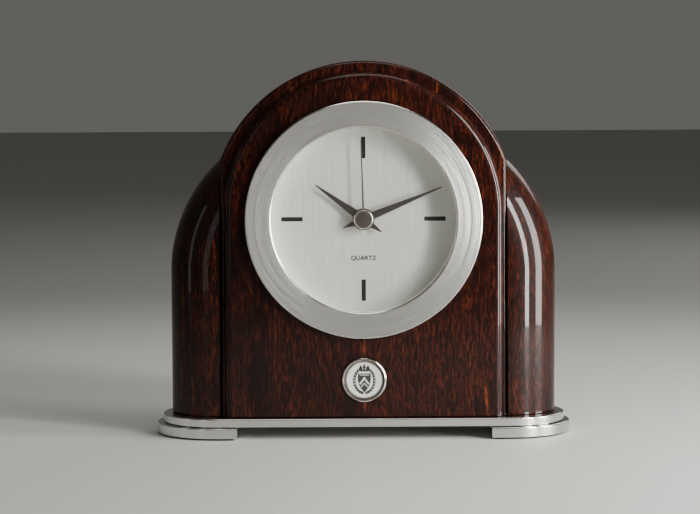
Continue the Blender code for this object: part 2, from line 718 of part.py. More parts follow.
def make_running_train():
    """From the stepping rotor to the second hand, and on to the centre wheel."""
    rotor_module = module_of(ROTOR_REACH, ROTOR_TEETH, INTERMEDIATE_TEETH[0])
    second_module = module_of(INTERMEDIATE_REACH, SECONDS_TEETH[0], INTERMEDIATE_TEETH[1])
    third_module = module_of(THIRD_REACH, SECONDS_TEETH[1], THIRD_TEETH[0])
    centre_module = module_of(THIRD_REACH, THIRD_TEETH[1], CENTRE_TEETH)
    pivot_end = COVER_FRONT - 0.2
    arbor = (ARBOR, CASE_INSIDE + FIT_GAP, pivot_end)

    second_layers = [
        (gear(SECONDS_TEETH[0], second_module, 0.0, WHEEL_TOOTH), 0.6, 1.6),
        (gear(SECONDS_TEETH[1], third_module, 0.0, PINION_TOOTH), -1.5, 0.8),
    ]
    second_arbor = (ARBOR, SECOND_HAND_FRONT + 0.3, pivot_end)
    wheel_on_axis("seconds_wheel", (0.0, 0.0), second_layers, second_arbor)

    phase = meshed_phase(0.0, SECONDS_TEETH[0], INTERMEDIATE_TEETH[1], INTERMEDIATE_ANGLE)
    intermediate_layers = [
        (gear(INTERMEDIATE_TEETH[0], rotor_module, 0.0, WHEEL_TOOTH), 2.4, 3.2),
        (gear(INTERMEDIATE_TEETH[1], second_module, phase, PINION_TOOTH), 0.3, 2.6),
    ]
    wheel_on_axis("intermediate_wheel", INTERMEDIATE_AXIS, intermediate_layers, arbor)

    phase = meshed_phase(0.0, INTERMEDIATE_TEETH[0], ROTOR_TEETH, ROTOR_ANGLE)
    rotor_layers = [
        (circle(MAGNET_RADIUS, 20), 4.0, 5.4),
        (gear(ROTOR_TEETH, rotor_module, phase, PINION_TOOTH), 2.2, 4.2),
    ]
    wheel_on_axis("rotor", ROTOR_AXIS, rotor_layers, arbor, "gunmetal")

    phase = meshed_phase(0.0, SECONDS_TEETH[1], THIRD_TEETH[0], THIRD_ANGLE)
    third_layers = [
        (gear(THIRD_TEETH[0], third_module, phase, WHEEL_TOOTH), -1.2, -0.3),
        (gear(THIRD_TEETH[1], centre_module, 0.0, PINION_TOOTH), -3.6, -1.0),
    ]
    wheel_on_axis("third_wheel", THIRD_AXIS, third_layers, arbor)

    phase = meshed_phase(0.0, THIRD_TEETH[1], CENTRE_TEETH, THIRD_ANGLE + math.pi)
    centre = gear(CENTRE_TEETH, centre_module, phase, WHEEL_TOOTH)
    hole = circle(MINUTE_PIPE[1] + FIT_GAP, 16)
    plate("centre_wheel", [centre, hole], -3.3, -2.3, "gear_nylon", z=DIAL_Z)


def make_motion_works():
    """The minute pipe, the wheel that the setting knob turns, and the hour wheel."""
    module = module_of(MOTION_REACH, CANNON_TEETH, MOTION_TEETH[0])
    cannon = gear(CANNON_TEETH, module, 0.0, PINION_TOOTH)
    pipe = wheel_on_axis(
        "minute_pipe",
        (0.0, 0.0),
        [(cannon, -5.4, -3.8)],
        (MINUTE_PIPE[1], MINUTE_HAND_FRONT, -1.9),
        "brass",
    )
    bore = [((0, -60, 0), (0, 60, 0), MINUTE_PIPE[0])]
    carve(pipe, rods("minute_pipe_bore", bore, sides=12, z=DIAL_Z))

    phase = meshed_phase(0.0, CANNON_TEETH, MOTION_TEETH[0], MOTION_ANGLE)
    motion_layers = [
        (gear(MOTION_TEETH[0], module, phase, WHEEL_TOOTH), -5.2, -4.0),
        (gear(MOTION_TEETH[1], module, 0.0, PINION_TOOTH), -7.3, -5.0),
    ]
    arbor = (MOTION_ARBOR, CASE_INSIDE + FIT_GAP, KNOB_BACK - 1.5)
    wheel_on_axis("motion_wheel", MOTION_AXIS, motion_layers, arbor)

    phase = meshed_phase(0.0, MOTION_TEETH[1], HOUR_TEETH, MOTION_ANGLE + math.pi)
    hour = gear(HOUR_TEETH, module, phase, WHEEL_TOOTH)
    wheel = wheel_on_axis(
        "hour_wheel",
        (0.0, 0.0),
        [(hour, -7.2, -6.2)],
        (HOUR_PIPE[1], HOUR_HAND_FRONT, -6.2),
    )
    bore = [((0, -60, 0), (0, 60, 0), HOUR_PIPE[0])]
    carve(wheel, rods("hour_pipe_bore", bore, sides=16, z=DIAL_Z))

    knob_x, knob_z = MOTION_AXIS
    knob = plate(
        "setting_knob",
        [gear(KNOB_RIDGES, 2 * KNOB_RADIUS / KNOB_RIDGES, 0.0, KNOB_RIDGE)],
        COVER_BACK + FIT_GAP + 0.1,
        KNOB_BACK,
        "black_plastic",
        x=knob_x,
        z=knob_z + DIAL_Z,
    )
    socket = [((0, 0, 0), (0, KNOB_BACK - 1.2, 0), MOTION_ARBOR + FIT_GAP)]
    carve(knob, rods("knob_socket", socket, sides=12, x=knob_x, z=knob_z + DIAL_Z))


def make_motor():
    """The stator round the rotor's magnet, its coil, and the board that drives it."""
    rotor_x, rotor_z = ROTOR_AXIS
    stator_front, stator_back = 4.3, 5.1
    plate(
        "stator",
        [
            rectangle(-9.0, 10.2, 16.4, 25.2),
            rectangle(-5.6, 19.6, 13.0, 22.9),
            circle(MAGNET_RADIUS + 0.4, 20, (rotor_x, rotor_z)),
        ],
        stator_front,
        stator_back,
        "zinc_steel",
        z=DIAL_Z,
    )
    middle_y = (stator_front + stator_back) / 2
    core_z = 24.05
    winding = ((-4.8, middle_y, core_z), (12.2, middle_y, core_z), 2.4)
    coil = rods("coil", [winding], "copper_wire", 16, z=DIAL_Z)
    tunnel = box("coil_tunnel", (-20, stator_front - 0.3, 22.6), (30, stator_back + 0.3, 25.5), z=DIAL_Z)
    carve(coil, tunnel)
    board = box("circuit_board", (-26.5, stator_front, 2.0), (-11.0, 5.3, 24.0), "green_board", z=DIAL_Z)
    chip = box("board_chip", (-22.0, 3.0, 8.0), (-15.0, 4.6, 15.0), z=DIAL_Z)
    carve(board, chip, "UNION")
    crystal = rods("board_crystal", [((-20.5, 3.4, 21.0), (-14.0, 3.4, 21.0), 1.0)], sides=10, z=DIAL_Z)
    carve(board, crystal, "UNION")


def make_battery():
    axis_z = DIAL_Z + BATTERY_DROP
    inner = MOVEMENT_HALF - WALL
    tip = inner - 1.4
    nub_length = 1.0
    back_end = tip - BATTERY_LENGTH
    profile = [
        (0.0, tip),
        (2.7, tip),
        (2.7, tip - nub_length),
        (BATTERY_RADIUS - 0.4, tip - nub_length),
        (BATTERY_RADIUS, tip - nub_length - 0.4),
        (BATTERY_RADIUS, back_end + 0.4),
        (BATTERY_RADIUS - 0.4, back_end),
        (0.0, back_end),
    ]
    turned("battery", profile, "battery_wrap", steps=24, z=axis_z, along="X")
    box("contact_positive", (tip + FIT_GAP, -4.0, -5.0), (tip + 0.8, 6.8, 5.0), "zinc_steel", z=axis_z)
    turns = 2.5
    wide, narrow = 4.6, 2.8
    wire_radius = 0.35
    wall_end = 0.8 - inner
    free_end = back_end - FIT_GAP - wire_radius - 0.05
    count = 21
    spring = []
    for index in range(count):
        share = index / (count - 1)
        angle = math.tau * turns * share
        radius = wide + (narrow - wide) * share
        across = wall_end + (free_end - wall_end) * share
        spring.append((across, radius * math.cos(angle), radius * math.sin(angle)))
    wire("contact_negative", spring, wire_radius, "zinc_steel", resolution=1, z=axis_z)


def make_dial_fixings():
    """The washer and nut that hold the movement's bushing in the case."""
    washer_back = DIAL_FRONT - FIT_GAP
    washer_front = washer_back - 0.4
    outer = 5.2
    hole = SHAFT_HOLE
    washer = [(outer, washer_back), (outer, washer_front), (hole, washer_front), (hole, washer_back)]
    turned("mounting_washer", washer, "brass", steps=24, z=DIAL_Z)
    nut_back = washer_front - FIT_GAP
    hexagon = circle(5.1, 6)
    bore = circle(BUSHING_RADIUS + FIT_GAP, 24)
    plate("mounting_nut", [hexagon, bore], nut_back - 1.2, nut_back, "brass", z=DIAL_Z)


# The hands -----------------------------------------------------------------------------------------


def dagger(length, tail, hub, width):
    """A hand that tapers from its hub to a point, with a short pointed tail."""
    reach = math.sqrt(hub**2 - (width / 2) ** 2)
    start = math.asin(width / 2 / hub)
    right = arc((0.0, 0.0), hub, math.pi / 2 - start, start - math.pi / 2, 11)
    left = arc((0.0, 0.0), hub, -math.pi / 2 - start, start - 3 * math.pi / 2, 11)
    tip_width = 0.25
    return (
        [(-width / 2, reach + 0.5), (-tip_width, length), (tip_width, length), (width / 2, reach + 0.5)]
        + right
        + [(tip_width, -tail), (-tip_width, -tail)]
        + left
    )


def make_hands():
    hour = plate(
        "hour_hand",
        [dagger(29.5, HAND_TAIL, 5.5, 4.2), circle(HOUR_PIPE[1] + FIT_GAP, 16)],
        HOUR_HAND_FRONT,
        HOUR_HAND_FRONT + HAND_THICKNESS,
        "gunmetal",
        z=DIAL_Z,
    )
    hour.rotation_euler = (0.0, HOUR_ANGLE, 0.0)
    minute = plate(
        "minute_hand",
        [dagger(42.2, HAND_TAIL, 5.3, 3.7), circle(MINUTE_PIPE[1] + FIT_GAP, 16)],
        MINUTE_HAND_FRONT,
        MINUTE_HAND_FRONT + HAND_THICKNESS,
        "gunmetal",
        z=DIAL_Z,
    )
    minute.rotation_euler = (0.0, MINUTE_ANGLE, 0.0)
    front = SECOND_HAND_FRONT
    second = plate("second_hand", [circle(3.0, 20)], front, front + 0.4, "satin_nickel", z=DIAL_Z)
    needle = [(-0.55, 0.0), (-0.22, 39.8), (0.22, 39.8), (0.55, 0.0)]
    blade = plate("second_blade", [needle], front + 0.05, front + 0.35, z=DIAL_Z)
    carve(second, blade, "UNION")
    carve(second, rods("second_socket", [((0, -40, 0), (0, 0, 0), ARBOR + FIT_GAP)], sides=12, z=DIAL_Z))
    second.rotation_euler = (0.0, SECOND_ANGLE, 0.0)
    blade.rotation_euler = (0.0, SECOND_ANGLE, 0.0)
    cap_back = SECOND_HAND_FRONT - FIT_GAP
    cap = [
        (0.0, cap_back),
        (CAP_RADIUS, cap_back),
        (CAP_RADIUS, cap_back - 0.2),
        (CAP_RADIUS - 0.25, cap_back - 0.6),
        (CAP_RADIUS - 0.9, cap_back - CAP_HEIGHT),
        (0.0, cap_back - CAP_HEIGHT),
    ]
    turned("hub_cap", cap, "satin_nickel", steps=32, z=DIAL_Z)


make_case_body()
make_front_panel()
make_back_panel()
make_wing("wing_left", -1)
make_wing("wing_right", 1)
make_dowels()
make_screws()
make_base()
make_dial()
make_emblem()
make_movement_case()
make_movement_cover()
make_running_train()
make_motion_works()
make_motor()
make_battery()
make_dial_fixings()
make_hands()
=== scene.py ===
"""The looks of the mantel clock: its lacquered case, metal base and bezel, dial, hands and movement."""

import math

import bmesh
import bpy
from mathutils import Matrix, Vector


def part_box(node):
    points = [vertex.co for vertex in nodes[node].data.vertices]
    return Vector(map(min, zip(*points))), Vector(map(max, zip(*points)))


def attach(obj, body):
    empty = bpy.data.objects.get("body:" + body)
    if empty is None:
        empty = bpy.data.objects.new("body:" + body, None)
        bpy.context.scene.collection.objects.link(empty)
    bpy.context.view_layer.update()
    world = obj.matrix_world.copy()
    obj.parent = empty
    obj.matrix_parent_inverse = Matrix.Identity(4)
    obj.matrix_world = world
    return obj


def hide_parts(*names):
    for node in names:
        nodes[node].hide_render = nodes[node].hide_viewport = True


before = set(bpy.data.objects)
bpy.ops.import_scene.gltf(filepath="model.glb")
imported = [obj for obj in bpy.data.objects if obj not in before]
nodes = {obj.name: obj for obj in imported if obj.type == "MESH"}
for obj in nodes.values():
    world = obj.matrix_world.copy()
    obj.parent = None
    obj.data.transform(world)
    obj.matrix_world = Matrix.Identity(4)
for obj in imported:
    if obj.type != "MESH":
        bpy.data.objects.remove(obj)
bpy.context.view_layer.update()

MM = 0.001
NEAR = 0.000001  # metres: what counts as the same place


# Where the CAD pieces are ------------------------------------------------------------------------------


def span(node):
    """A node's lowest and highest corners, in millimetres."""
    low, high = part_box(node)
    return low / MM, high / MM


bezel_low, bezel_high = span("bezel_ring")
panel_low, panel_high = span("front_panel")
back_low, back_high = span("back_panel")
body_low, body_high = span("case_body")
wing_high = span("wing_right")[1]
plate_low, plate_high = span("base_plate")
foot_low, foot_high = span("foot_right")
pad_low, pad_high = span("foot_pad_right")
glass_low, glass_high = span("lens_glass")
spacer_low, spacer_high = span("dial_spacer_ring")
dial_low, dial_high = span("dial_plate")
rim_low, rim_high = span("emblem_rim")
disc_low, disc_high = span("emblem_disc")
battery_low, battery_high = span("battery")
cap_high = span("hub_cap")[1]

DIAL_Z = (bezel_low.z + bezel_high.z) / 2
EMBLEM_Z = (rim_low.z + rim_high.z) / 2
FIT_GAP = 0.3
THROUGH = 5.0  # how far a cutter passes through a face

# Wood
WOOD_BOTTOM = panel_low.z
PANEL_RADIUS = panel_high.x
PANEL_Z = panel_high.z - PANEL_RADIUS
PANEL_ROUNDING = 4.4
ARCH_RADIUS = 76.5
ARCH_Z = body_high.z - ARCH_RADIUS
BODY_HALF_WIDTH = body_high.x
BODY_ROUNDING = 2.2
SHOULDER_EASING = 16.0  # where the body's arch runs into its sides
BACK_ROUNDING = 2.5
WING_RADIUS = 78.0  # of its outline
WING_SPRING_Z = 81.7  # where its outline starts to curve
WING_HALF_WIDTH = 26.6  # of its elliptic section
WING_HALF_DEPTH = 23.0
WING_MIDDLE_Y = 2.0
WING_TURN = 96  # degrees that the section is spun through

# The bores behind the dial
BEZEL_BORE = 50.0
DIAL_BORE = 53.0
WEB_FRONT = -15.0
WEB_BACK = -9.0
BUSHING_HOLE = 3.9
POCKET_HALF = 31.5

# Metal and print
PLATE_CHAMFER = 0.6
FOOT_CHAMFER = 0.7
BEZEL_OPENING = 46.2
BATON_INNER = 30.4
BATON_OUTER = 41.2
BATON_WIDTH = 2.2
BATON_CORNER = 0.4
LETTER_SIZE = 3.05
LETTERING_DROP = 20.6  # below the hands' axis
INK_THICKNESS = 0.05
FACE = disc_low.y  # the front of the emblem's disc
INK_FRONT = FACE - INK_THICKNESS
INK_BACK = FACE - 0.01

# Hands
HOUR_ANGLE = math.radians(305.6)
MINUTE_ANGLE = math.radians(67.7)
SECOND_ANGLE = math.radians(358.2)
HAND_TAIL = 10.9
HAND_RIDGE = 0.05


# Modelling by hand -------------------------------------------------------------------------------------


def at(x, y, z):
    """A place in metres from millimetres."""
    return Vector((x, y, z)) * MM


def start_clean():
    """Leave edit mode with nothing selected."""
    if bpy.context.object is not None and bpy.context.object.mode == "EDIT":
        bpy.ops.object.mode_set(mode="OBJECT")
    bpy.ops.object.select_all(action="DESELECT")


def settle():
    """Put the active object's place and turn into its mesh."""
    bpy.ops.object.transform_apply(location=True, rotation=True, scale=True)
    return bpy.context.object


def edit():
    bpy.ops.object.mode_set(mode="EDIT")
    bpy.ops.mesh.select_all(action="SELECT")


def pick(kind, test):
    """In edit mode, select only the vertices, edges or faces that pass a test."""
    bpy.ops.mesh.select_mode(type=kind)
    bpy.ops.mesh.select_all(action="DESELECT")
    mesh = bpy.context.object.data
    shape = bmesh.from_edit_mesh(mesh)
    for part in {"VERT": shape.verts, "EDGE": shape.edges, "FACE": shape.faces}[kind]:
        if test(part):
            part.select_set(True)
    bmesh.update_edit_mesh(mesh)


def tidy_mesh():
    """Leave edit mode with doubles merged and every face pointing out."""
    bpy.ops.mesh.select_mode(type="VERT")
    bpy.ops.mesh.select_all(action="SELECT")
    bpy.ops.mesh.remove_doubles(threshold=0.000002)
    bpy.ops.mesh.normals_make_consistent(inside=False)
    bpy.ops.object.mode_set(mode="OBJECT")
    return bpy.context.object


def activate(piece):
    start_clean()
    piece.select_set(True)
    bpy.context.view_layer.objects.active = piece


def apply_modifier(piece, kind, **settings):
    activate(piece)
    bpy.ops.object.modifier_add(type=kind)
    modifier = piece.modifiers[-1]
    for setting, value in settings.items():
        setattr(modifier, setting, value)
    bpy.ops.object.modifier_apply(modifier=modifier.name)


def combine(piece, tool, operation="DIFFERENCE"):
    """Cut a piece with a tool, or join them, and use the tool up."""
    apply_modifier(piece, "BOOLEAN", operation=operation, solver="EXACT", object=tool)
    bpy.data.objects.remove(tool, do_unlink=True)
    return piece


def cylinder(radius, y0, y1, x=0.0, z=0.0, sides=96):
    """A round bar along Y, for a tool."""
    start_clean()
    bpy.ops.mesh.primitive_cylinder_add(
        vertices=sides,
        radius=radius * MM,
        depth=abs(y1 - y0) * MM,
        location=at(x, (y0 + y1) / 2, z),
        rotation=(math.pi / 2, 0.0, 0.0),
    )
    return settle()


def block(low, high):
    """A plain box between two corners, for a tool or a start."""
    start_clean()
    bpy.ops.mesh.primitive_cube_add(size=1.0, location=(Vector(low) + Vector(high)) * MM / 2)
    bpy.context.object.scale = (Vector(high) - Vector(low)) * MM
    return settle()


def lathe(rings, z=0.0, sides=192):
    """A turned piece about an axis along Y: its rings are (radius, y), a loop if the last is the first."""
    start_clean()
    radius, y = rings[0]
    bpy.ops.mesh.primitive_circle_add(
        vertices=sides,
        radius=radius * MM,
        location=at(0, y, z),
        rotation=(math.pi / 2, 0.0, 0.0),
    )
    settle()
    edit()

    def on_last_ring(edge):
        return all(
            abs(v.co.y - y * MM) < NEAR
            and abs(math.hypot(v.co.x, v.co.z - z * MM) - radius * MM) < NEAR
            for v in edge.verts
        )

    closed = rings[0] == rings[-1]
    if not closed:
        bpy.ops.mesh.edge_face_add()
    for next_radius, next_y in rings[1:]:
        if not closed:
            pick("EDGE", on_last_ring)
        bpy.ops.mesh.extrude_edges_move(TRANSFORM_OT_translate={"value": at(0, next_y - y, 0)})
        scale = next_radius / radius
        bpy.ops.transform.resize(value=(scale, 1.0, scale), center_override=at(0, next_y, z))
        radius, y = next_radius, next_y
    if not closed:
        bpy.ops.mesh.edge_face_add()
    return tidy_mesh()


def arch_slab(radius, half_width, centre_z, front, back, bottom, sides=192, easing=0.0):
    """A slab with a round top on two upright sides, which may be eased into each other."""
    spring = centre_z + math.sqrt(max(0.0, radius**2 - half_width**2))
    start_clean()
    bpy.ops.mesh.primitive_circle_add(
        vertices=sides,
        radius=radius * MM,
        fill_type="NGON",
        location=at(0, front, centre_z),
        rotation=(math.pi / 2, 0.0, 0.0),
    )
    settle()
    edit()
    bpy.ops.mesh.bisect(plane_co=at(0, 0, spring), plane_no=(0, 0, 1), clear_inner=True)
    pick("EDGE", lambda edge: all(v.co.z < spring * MM + NEAR for v in edge.verts))
    bpy.ops.mesh.extrude_edges_move(TRANSFORM_OT_translate={"value": at(0, 0, bottom - spring)})
    pick("EDGE", lambda edge: len(edge.link_faces) == 2)
    bpy.ops.mesh.dissolve_edges()
    if easing:
        pick("VERT", lambda vert: abs(vert.co.z - spring * MM) < NEAR)
        bpy.ops.mesh.bevel(offset=easing * MM, segments=10, affect="VERTICES")
    bpy.ops.mesh.select_all(action="SELECT")
    bpy.ops.mesh.extrude_region_move(TRANSFORM_OT_translate={"value": at(0, back - front, 0)})
    return tidy_mesh()


def sharp(edge):
    return edge.calc_face_angle(0) > 0.5


def round_rim(y, width, segments):
    """Round the sharp outline of the active piece's face at y, but for its bottom edge."""
    edit()

    def on_rim(edge):
        on_face = all(abs(v.co.y - y * MM) < NEAR for v in edge.verts)
        return on_face and sharp(edge) and max(v.co.z for v in edge.verts) > (WOOD_BOTTOM + 0.1) * MM

    pick("EDGE", on_rim)
    bpy.ops.mesh.bevel(offset=width * MM, segments=segments, profile=0.5, affect="EDGES", clamp_overlap=False)
    return tidy_mesh()


def stadium_slab(half_length, half_depth, bottom, top, sides=192):
    """A bar with half-round ends, lying flat."""
    start_clean()
    bpy.ops.mesh.primitive_cylinder_add(
        vertices=sides,
        radius=half_depth * MM,
        depth=(top - bottom) * MM,
        location=at(0, 0, (top + bottom) / 2),
    )
    settle()
    edit()
    reach = (half_length - half_depth) * MM
    for side in (-1, 1):
        pick("VERT", lambda vert: NEAR < side * vert.co.x < half_depth * MM + NEAR)
        bpy.ops.transform.translate(value=(side * reach, 0, 0))
    return tidy_mesh()


def chamfer_top(top, width):
    """Ease the sharp edges round the top of the active piece."""
    edit()
    pick("EDGE", lambda edge: sharp(edge) and all(v.co.z > top * MM - NEAR for v in edge.verts))
    bpy.ops.mesh.bevel(offset=width * MM, segments=3, affect="EDGES")
    return tidy_mesh()


def keep_beyond(x, side):
    """Keep what lies outside x, and close the cut."""
    edit()
    bpy.ops.mesh.bisect(plane_co=at(side * x, 0, 0), plane_no=(side, 0, 0), clear_inner=True, use_fill=True)
    return tidy_mesh()


def finished(piece, name, body, slot, material, *replaced):
    """Name a piece, smooth it, give it its finish and set it on its body."""
    piece.name = name
    piece.data.name = name
    activate(piece)
    bpy.ops.object.shade_smooth_by_angle(angle=math.radians(38))
    apply_modifier(piece, "WEIGHTED_NORMAL", keep_sharp=True)
    piece.data.materials.clear()
    piece.data.materials.append(material)
    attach(piece, body)
    if replaced:
        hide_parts(*replaced)
    return piece


# Shading ---------------------------------------------------------------------------------------------


BLACK = (0.0, 0.0, 0.0)


class Flow:
    """A number that varies over a surface. Arithmetic on it adds Math nodes."""

    def __init__(self, finish, socket):
        self.finish = finish
        self.socket = socket

    def maths(self, operation, *values):
        node = self.finish.node("ShaderNodeMath", {"operation": operation}, dict(enumerate(values)))
        return Flow(self.finish, node.outputs[0])

    def __add__(self, other):
        return self.maths("ADD", self, other)

    def __sub__(self, other):
        return self.maths("SUBTRACT", self, other)

    def __rsub__(self, other):
        return self.maths("SUBTRACT", other, self)

    def __mul__(self, other):
        return self.maths("MULTIPLY", self, other)

    def __truediv__(self, other):
        return self.maths("DIVIDE", self, other)

    def __pow__(self, other):
        return self.maths("POWER", self, other)

    __radd__ = __add__
    __rmul__ = __mul__

    def above(self, low, high):
        """0 below low, 1 above high and smooth between."""
        settings = {"interpolation_type": "SMOOTHSTEP"}
        values = {"Value": self, "From Min": low, "From Max": high}
        node = self.finish.node("ShaderNodeMapRange", settings, values)
        return Flow(self.finish, node.outputs["Result"])


class Finish:
    """A material under construction on one Principled shader."""

    def __init__(self, name, **constants):
        self.material = bpy.data.materials.new(name)
        self.material.use_nodes = True
        self.tree = self.material.node_tree
        self.shader = self.tree.nodes["Principled BSDF"]
        self.set(**constants)

    def set(self, **values):
        """Give the shader's sockets their values or links, Base_Color for Base Color."""
        for key, value in values.items():
            self.feed(self.shader.inputs[key.replace("_", " ")], value)

    def feed(self, socket, value):
        if isinstance(value, Flow):
            value = value.socket
        if isinstance(value, bpy.types.NodeSocket):
            self.tree.links.new(value, socket)
        elif isinstance(value, (tuple, list, Vector)) and len(value) == 3 and socket.type == "RGBA":
            socket.default_value = (*value, 1.0)
        else:
            socket.default_value = value

    def node(self, kind, settings=None, inputs=None):
        """Add a node: its settings first, then the values or links of its sockets."""
        node = self.tree.nodes.new(kind)
        for key, value in (settings or {}).items():
            setattr(node, key, value)
        for key, value in (inputs or {}).items():
            self.feed(node.inputs[key], value)
        return node

    def place(self, centre=(0, 0, 0), scale=(1, 1, 1)):
        """Object coordinates in millimetres from a centre, stretched by scale."""
        coordinates = self.node("ShaderNodeTexCoord")
        mapping = self.node(
            "ShaderNodeMapping",
            None,
            {
                "Vector": coordinates.outputs["Object"],
                "Location": Vector([-c * s for c, s in zip(centre, scale)]),
                "Scale": Vector(scale) / MM,
            },
        )
        return mapping.outputs["Vector"]

    def axes(self, vector):
        split = self.node("ShaderNodeSeparateXYZ", None, {0: vector})
        return [Flow(self, output) for output in split.outputs]

    def vector(self, x, y, z):
        return self.node("ShaderNodeCombineXYZ", None, {0: x, 1: y, 2: z}).outputs[0]

    def noise(self, vector, scale, detail=4.0, roughness=0.5):
        values = {"Vector": vector, "Scale": scale, "Detail": detail, "Roughness": roughness}
        return Flow(self, self.node("ShaderNodeTexNoise", None, values).outputs[0])

    def mix(self, factor, first, second):
        node = self.node("ShaderNodeMix", {"data_type": "RGBA"}, {0: factor, 6: first, 7: second})
        return node.outputs[2]

    def shade(self, tone, colour):
        """A colour made lighter or darker by a tone about 1."""
        return self.mix(tone, BLACK, colour)

    def bump(self, height, distance, strength=1.0):
        values = {"Height": height, "Distance": distance * MM, "Strength": strength}
        return self.node("ShaderNodeBump", None, values).outputs["Normal"]

    def scratched(self, across):
        """The surface's normal leant over by fine scratches; across is how far, in the object's axes."""
        settings = {"vector_type": "VECTOR", "convert_from": "OBJECT", "convert_to": "WORLD"}
        lean = self.node("ShaderNodeVectorTransform", settings, {0: across}).outputs[0]
        normal = self.node("ShaderNodeNewGeometry").outputs["Normal"]
        leant = self.node("ShaderNodeVectorMath", {"operation": "ADD"}, {0: normal, 1: lean})
        return self.node("ShaderNodeVectorMath", {"operation": "NORMALIZE"}, {0: leant.outputs[0]}).outputs[0]


def lacquered_wood():
    """Dark figured veneer with upright grain under a deep gloss lacquer."""
    finish = Finish(
        "lacquered_wood",
        Coat_Weight=0.37,
        Coat_Roughness=0.02,
        Coat_IOR=1.5,
        Specular_IOR_Level=0.05,
    )
    x, y, z = finish.axes(finish.place())
    drift = finish.noise(finish.place(scale=(1, 1, 0.3)), 0.02, detail=3) - 0.5
    sway = finish.noise(finish.place(scale=(1, 1, 0.4)), 0.08, detail=2) - 0.5
    across = x + drift * 26.0 + sway * 5.0
    patches = finish.noise(finish.vector(across, y, z * 0.25), 0.05, detail=4, roughness=0.6)
    bands = finish.noise(finish.vector(across, y, z * 0.05), 0.16, detail=4, roughness=0.6)
    fibres = finish.noise(finish.vector(across, y, z * 0.17), 0.85, detail=5, roughness=0.72)
    pores = finish.noise(finish.vector(across, y, z * 0.13), 1.6, detail=3, roughness=0.7)
    flame = finish.noise(finish.vector(across, y, z * 0.03), 0.3, detail=3, roughness=0.5)
    dark = (0.0050, 0.0011, 0.0008)
    maroon = (0.0150, 0.0030, 0.0018)
    red = (0.062, 0.0115, 0.0045)
    amber = (0.2, 0.045, 0.012)
    pore = (0.0032, 0.0009, 0.0007)
    ground = finish.mix((bands * 0.5 + patches * 0.5).above(0.38, 0.6), dark, maroon)
    colour = finish.mix(fibres.above(0.43, 0.66) * patches.above(0.28, 0.54), ground, red)
    colour = finish.mix(flame.above(0.62, 0.72) * fibres.above(0.35, 0.6) * 0.75, colour, amber)
    colour = finish.mix(pores.above(0.46, 0.6) * 0.9, colour, pore)
    finish.set(Base_Color=colour, Roughness=0.45 - fibres * 0.12)
    finish.set(Normal=finish.bump(pores, 0.02, 0.2))
    return finish.material


def brushed_ring():
    """Aluminium turned on a lathe: grooves run round the dial's axis."""
    finish = Finish("bezel_aluminium", Metallic=1.0)
    x, y, z = finish.axes(finish.place(centre=(0, 0, DIAL_Z)))
    radius = (x * x + z * z) ** 0.5
    grooves = finish.noise(finish.vector(radius, y, x * 0.004), 7.0, detail=4, roughness=0.7) - 0.5
    turning = radius.maths("SINE", radius * 36.0 + grooves * 3.0)
    scuffs = finish.noise(finish.vector(radius * 3.0, x * 0.12, z * 0.12), 1.2, detail=4, roughness=0.7)
    inner = BEZEL_OPENING + 0.75
    outer = bezel_high.x - 0.8
    flat = radius.above(inner, inner + 0.05) * (1 - radius.above(outer, outer + 0.05))
    tone = 0.94 + (scuffs - 0.5) * 0.24 * flat + grooves * 0.2
    finish.set(Base_Color=finish.shade(tone, (0.64, 0.635, 0.60)))
    finish.set(Roughness=0.2 + flat * (0.1 + (scuffs - 0.5) * 0.14))
    lean = grooves * (0.25 + flat * 0.7) + turning * flat * 0.33
    finish.set(Normal=finish.scratched(finish.vector(x / radius * lean, 0.0, z / radius * lean)))
    return finish.material


def satin_aluminium():
    """The base's aluminium: brushed along its length."""
    finish = Finish("base_aluminium", Metallic=1.0)
    lines = finish.noise(finish.place(scale=(0.02, 1.0, 1.0)), 6.0, detail=4, roughness=0.7) - 0.5
    cloud = finish.noise(finish.place(scale=(0.3, 1.0, 1.0)), 0.12, detail=4) - 0.5
    tone = 0.9 + lines * 0.12 + cloud * 0.14
    finish.set(Base_Color=finish.shade(tone, (0.72, 0.72, 0.69)))
    finish.set(Roughness=0.17 + lines * 0.08 + cloud * 0.06)
    finish.set(Normal=finish.scratched(finish.vector(lines * 0.02, lines * 0.16, lines * 0.16)))
    return finish.material


def dial_silver():
    """Silvered dial, brushed upright."""
    finish = Finish("dial_silver", Metallic=0.45)
    fine = finish.noise(finish.place(scale=(1.0, 1.0, 0.012)), 6.0, detail=4, roughness=0.75) - 0.5
    broad = finish.noise(finish.place(scale=(1.0, 1.0, 0.03)), 0.6, detail=4, roughness=0.65) - 0.5
    tone = 0.93 + fine * 0.16 + broad * 0.12
    finish.set(Base_Color=finish.shade(tone, (0.92, 0.93, 0.875)))
    finish.set(Roughness=0.42 + fine * 0.2)
    finish.set(Normal=finish.scratched(finish.vector(fine * 0.7, 0.0, 0.0)))
    return finish.material


def plain_metal(name, colour, roughness, grain=2.0, depth=0.25):
    """Metal with a faint tooled texture."""
    finish = Finish(name, Metallic=1.0)
    marks = finish.noise(finish.place(), grain, detail=5, roughness=0.7)
    tone = 0.92 + (marks - 0.5) * 0.22
    finish.set(Base_Color=finish.shade(tone, colour))
    finish.set(Roughness=roughness + (marks - 0.5) * 0.12)
    finish.set(Normal=finish.bump(marks, 0.02, depth))
    return finish.material


